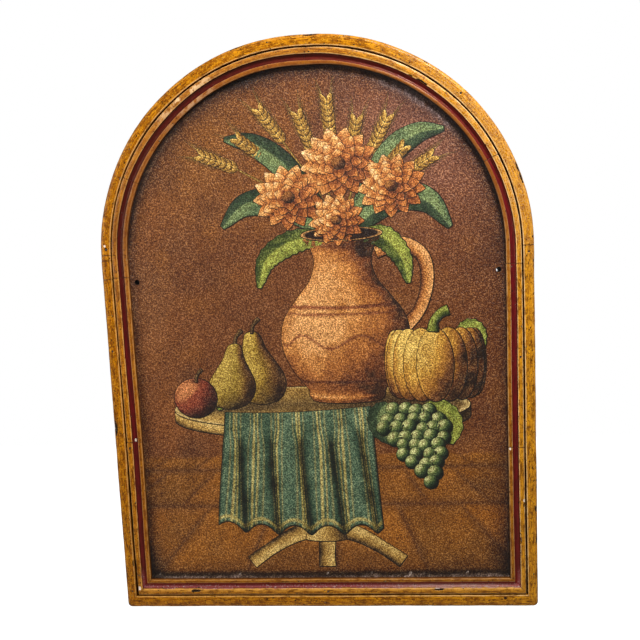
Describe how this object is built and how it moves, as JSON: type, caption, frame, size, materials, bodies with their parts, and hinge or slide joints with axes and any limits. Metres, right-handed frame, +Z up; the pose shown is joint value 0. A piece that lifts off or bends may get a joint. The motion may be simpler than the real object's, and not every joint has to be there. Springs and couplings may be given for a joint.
{
  "type": "painted wood panel",
  "caption": "Upright wooden sign board with a round-arched top, painted face, gilt outer band and a beaded, hollowed moulding, drilled for wall screws.",
  "frame": {"origin": "midway between the two wall-screw holes, on the back face of the board", "axes": "+Z up, the painted face looks along -Y, the wall lies at Y = 0, +X to the viewer's right"},
  "size_m": [0.61, 0.029, 0.821],
  "materials": {
    "painted_board": "stippled oil paint under satin varnish, bare wood at the back",
    "gilt_band": "ochre gold paint, rubbed and chipped at the edges",
    "moulding": "ochre gold paint with a burgundy hollow, rubbed at the edges",
    "steel_pin": "dull wire"
  },
  "bodies": {
    "root": {"backboard": "painted_board", "band_left": "gilt_band", "band_right": "gilt_band", "band_bottom": "gilt_band", "band_arch_left": "gilt_band", "band_arch_right": "gilt_band", "moulding_bottom": "moulding", "moulding_left_lower": "moulding", "moulding_left_upper": "moulding", "moulding_left_shoulder": "moulding", "moulding_left_crown": "moulding", "moulding_right_crown": "moulding", "moulding_right_shoulder": "moulding", "moulding_right_upper": "moulding", "moulding_right_lower": "moulding", "band_pins": "steel_pin", "moulding_pins": "steel_pin"}
  },
  "joints": []
}
